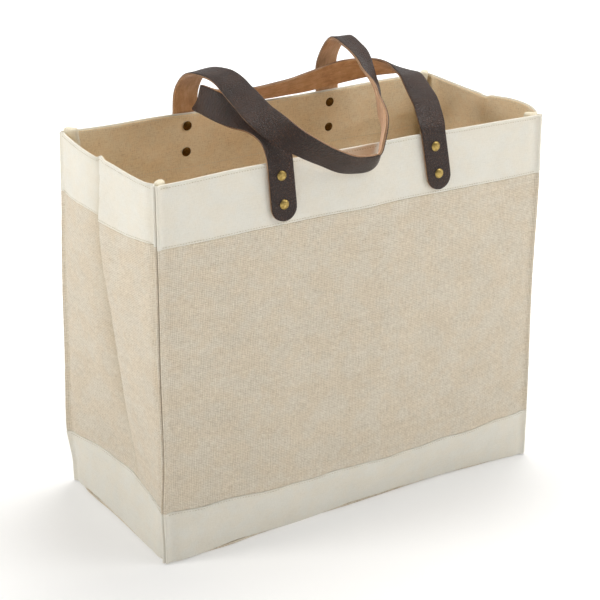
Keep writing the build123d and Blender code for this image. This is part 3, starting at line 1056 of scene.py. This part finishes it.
def lining_relief(wall, along, z, low, high):
    """The lining billows inwards only, held at its edges, its stitched line and the rivets."""
    held = np.clip((high - z) / 40, 0, 1) * np.clip((z - low) / 30, 0, 1)
    held = held * (1 - bell(z, BAND + EDGE_STITCH_IN, 7))
    held = held * (1 - bell(wall.half - np.abs(along), 4, 6))
    if wall.is_long:
        for x, z_low in RIVET_COLUMNS:
            held = held * (1 - bell(np.hypot(along - x, (z - z_low) * 0.6), 0, 17))
    billow = 0.5 + 0.5 * ripple(along, 1.9 * z, wall.seed + 12, 60)
    crumple = 0.22 * (1 + ripple(0.45 * along, z, wall.seed + 13, 13))
    return 2.0 * held * np.clip(billow, 0, 1.4) + crumple * np.clip(held + 0.25, 0, 1)


band_rise = steps(
    55.0, 3.0, [0, .25, .7, 1.3, 1.9, 2.5, 3.4, 5], [0, .3, .8, 1.6, 2.4, 3.1, 3.8, 5],
)
hem_rise = steps(47.0, 2.6, [0, .3, .8, 1.6, 3, 5], [0, .25, .7, 1.3, 1.9, 2.5, 3.4, 5])
jute_rise = steps(244.0, 3.4, [0, .25, .8, 2], [0, .25, .8, 2])
lining_rise = steps(342.0, 4.0, [0, .3, 1, 2.5], [0, .3, 1, 2.5])

for wall in walls:
    places = seam_places(wall)
    panel(
        wall, "top_canvas", places, wall.band, wall.rim, band_rise, TOP_BAND_DEPTH,
        band_relief, canvas, "top_band", "canvas",
    )
    panel(
        wall, "jute", places, lambda a: wall.hem(a) + SEAM_GAP, lambda a: wall.band(a) - SEAM_GAP,
        jute_rise, JUTE_DEPTH, jute_relief, jute,
        "body_panel" if wall.is_long else "gusset_panel", "jute",
    )
    panel(
        wall, "bottom_canvas", places, wall.foot, wall.hem, hem_rise, BOTTOM_BAND_DEPTH,
        hem_relief, canvas, "bottom_band", "canvas",
    )
    half_span = wall.half - (3.5 if wall.is_long else 3.9)
    panel(
        wall, "inner_cloth", plain_places(wall, half_span),
        lambda a: np.full_like(a, LINING_FOOT), lambda a: wall.rim(a) - LINING_BELOW_RIM,
        lining_rise, LINING_DEPTH, lining_relief, lining_cloth, "lining", "lining",
    )
    rim_line = lambda a: wall.rim(a) - RIM_STITCH_IN
    band_line = lambda a: wall.band(a) + EDGE_STITCH_IN
    hem_line = lambda a: wall.hem(a) - EDGE_STITCH_IN
    rows = [
        stitch_mesh(*wall_row(wall, rim_line, RIM_STITCH_DEPTH)),
        stitch_mesh(*wall_row(wall, band_line, EDGE_STITCH_DEPTH)),
        stitch_mesh(*wall_row(wall, hem_line, EDGE_STITCH_DEPTH)),
    ]
    carry(join(f"{wall.name}_stitching", rows, thread), "canvas")
    rows = [
        stitch_mesh(*wall_row(wall, rim_line, INNER_RIM_STITCH_DEPTH, -1.0, 9.0)),
        stitch_mesh(*wall_row(wall, band_line, INNER_BAND_STITCH_DEPTH, -1.0, 9.0)),
    ]
    carry(join(f"{wall.name}_inner_stitching", rows, pale_thread), "canvas")


TAPE_X, TAPE_Y = 190.25, 82.25


def corner_tape(name, side_x, side_y, drop, seed):
    """Bound seam allowance: a folded tape standing in the corner, its top end rolled over.

    drop is how much lower than the tallest one this tape ends.
    """
    rolled_end = np.array([350.4, 351.6, 352.7, 353.4, 353.7]) - drop
    heights = np.concatenate([np.arange(6.7, 347.0, 4.0), rolled_end])
    shrink = np.concatenate([np.ones(len(heights) - 4), [0.97, 0.86, 0.62, 0.28]])
    angles = np.linspace(0, 2 * math.pi, 28, endpoint=False)
    foot, rise = np.array([side_x * TAPE_X, side_y * TAPE_Y, 0]), np.array([0, 0, 1.0])
    inward = np.array([-side_x, -side_y, 0]) * math.sqrt(0.5)
    sideways = np.array([-inward[1], inward[0], 0])
    rings, uvs = [], []
    for z, size in zip(heights, shrink):
        flare = np.clip((z - 330) / 18, 0, 1)
        length = (6.0 + 0.25 * ripple(z, 0, seed, 40) + 0.6 * flare) * (0.55 + 0.45 * size)
        fat = 1.75 + 2.3 * flare + 0.3 * np.cos(angles) + 0.12 * ripple(z, 0, seed + 1, 22)
        c, s = np.cos(angles), np.sin(angles)
        lobe = np.sign(c) * np.abs(c) ** 0.7 * length - 3.4 * flare
        bend = 0.5 * ripple(z, 0, seed + 2, 90) * (0.5 + 0.5 * c)
        across = (fat * size * s + bend)[:, None] * sideways
        rings.append(foot + z * rise + lobe[:, None] * inward + across)
        uvs.append(np.stack([angles / (2 * math.pi) * 30.0, np.full_like(angles, z)], -1))
    points = settle(np.concatenate(rings))
    piece = make_object(
        f"{name}_tape", points, skin_faces(len(heights), len(angles)), [tape],
        np.concatenate(uvs),
    )
    carry(piece, "binding", f"{name}_binding")
    z = np.arange(9.0, 328.0, 1.5)
    rows = []
    for face in (1, -1):
        line = foot - inward + sideways * face * 1.72 + z[:, None] * rise
        rows.append(stitch_mesh(settle(line), np.tile(sideways * face, (len(z), 1)), 3.0, 2.2))
    carry(join(f"{name}_tape_stitching", rows, thread), "binding")


for name, side_x, side_y, drop, seed in (
    ("front_left", -1, -1, 2.4, 301), ("front_right", 1, -1, 2.6, 302),
    ("back_left", -1, 1, 0.0, 303), ("back_right", 1, 1, 0.6, 304),
):
    corner_tape(name, side_x, side_y, drop, seed)


def base_lining():
    """A flat piece of cloth with rolled edges, from rings that shrink to its middle."""
    half_x, half_y, bottom, top = 193.5, 86.5, 4.9, 5.9
    corner, edge, uneven = 7.0, 0.2, 0.35
    outline = []
    for cx, cy, start in ((1, 1, 0), (-1, 1, 90), (-1, -1, 180), (1, -1, 270)):
        for angle in np.radians(start + np.linspace(0, 90, 7)):
            outline.append((cx * (half_x - corner) + corner * math.cos(angle),
                            cy * (half_y - corner) + corner * math.sin(angle)))
    dense = []
    for a, b in zip(outline, outline[1:] + outline[:1]):
        a, b = np.array(a), np.array(b)
        pieces = max(1, int(np.linalg.norm(b - a) / 4.0))
        dense += [a + (b - a) * k / pieces for k in range(pieces)]
    x, y = np.array(dense).T
    shares = np.linspace(0.02, 1.0, 22)
    layers = [np.stack([x * share, y * share, np.full_like(x, bottom)], -1) for share in shares]
    for rise in (0.2, 0.5, 0.8):
        bulge = 1 + edge * math.sin(math.pi * rise) / half_y
        side = np.full_like(x, bottom + (top - bottom) * rise)
        layers.append(np.stack([x * bulge, y * bulge, side], -1))
    for share in shares[::-1]:
        free = np.clip((1 - share) / 0.1, 0, 1)
        upper = top + uneven * ripple(x * share, y * share, 401, 60) * free
        layers.append(np.stack([x * share, y * share, upper], -1))
    points = np.concatenate(layers)
    piece = make_object(
        "base_inner_cloth", points, skin_faces(len(layers), len(x)), [lining_cloth],
        points[:, :2] + 900.0,
    )
    carry(piece, "lining", "base_lining")


def base_panel():
    """The base panel. Its edge shows below the bottom bands where they ride up."""
    rows = []
    for wall in walls:
        along = np.arange(-wall.half + 7.5, wall.half - 7.5, 3.0)
        out = wall.reach - 1.9 + 2.2 * wall.showing(along)
        rows.append(out[:, None] * wall.out + along[:, None] * wall.along)
    rim = np.concatenate(rows)
    # Share of the outline and height of each ring, up from the middle of the underside.
    heights = [(0.04, 0.0), (0.3, 0.0), (0.6, 0.0), (0.9, 0.0), (0.985, 0.0), (0.996, 0.35),
               (1.0, 1.0), (1.0, 1.7), (0.996, 2.2), (0.985, 2.3), (0.9, 2.3), (0.6, 2.3),
               (0.3, 2.3), (0.04, 2.3)]
    layers = []
    for share, z in heights:
        layer = rim * share
        layer[:, 2] = z
        layers.append(layer)
    points = np.concatenate(layers)
    piece = make_object(
        "base_jute", settle(points), skin_faces(len(heights), len(rim)), [jute],
        points[:, :2] + 1300.0,
    )
    carry(piece, "jute", "base_panel")


base_panel()
base_lining()
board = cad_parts["base_board"]
board.data.materials.clear()
board.data.materials.append(fibreboard())

# Where each strap starts and stops bending between its wall and its loop, in metres.
front_bend = ((0, -0.092, 0.344), (0, -0.080, 0.352))
back_bend = ((0, 0.090, 0.346), (0, 0.086, 0.356))
for side_name, side, stations, seed, bend in (
    ("front", -1, front_stations, 501, front_bend), ("back", 1, back_stations, 601, back_bend),
):
    piece = strap(f"{side_name}_strap", stations, side, seed)
    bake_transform(piece)
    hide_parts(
        f"{side_name}_handle_left_end", f"{side_name}_handle_right_end",
        f"{side_name}_handle_loop",
    )
    ends = (("left", *stations[:2]), ("right", *stations[:-3:-1]))
    for end, low, high in ends:
        top, up, out = end_frame(low, high, side)
        caps, heads = [], []
        for reach in RIVET_REACH:
            on_strap = top - up * reach + out * (STRAP_HALF_THICKNESS - 0.1)
            inside = top - up * reach - out * INNER_CAP_DEPTH
            caps.append(lathe(OUTER_CAP, on_strap, out))
            heads.append(lathe(INNER_CAP, inside, -out))
        node = f"{side_name}_handle_{end}"
        for label, parts, material in (
            ("outer_rivets", caps, cap_brass), ("inner_caps", heads, dark_brass),
        ):
            rivets = join(f"{node}_{label}_turned", parts, material)
            carry(rivets, "brass", f"{node}_{label}")
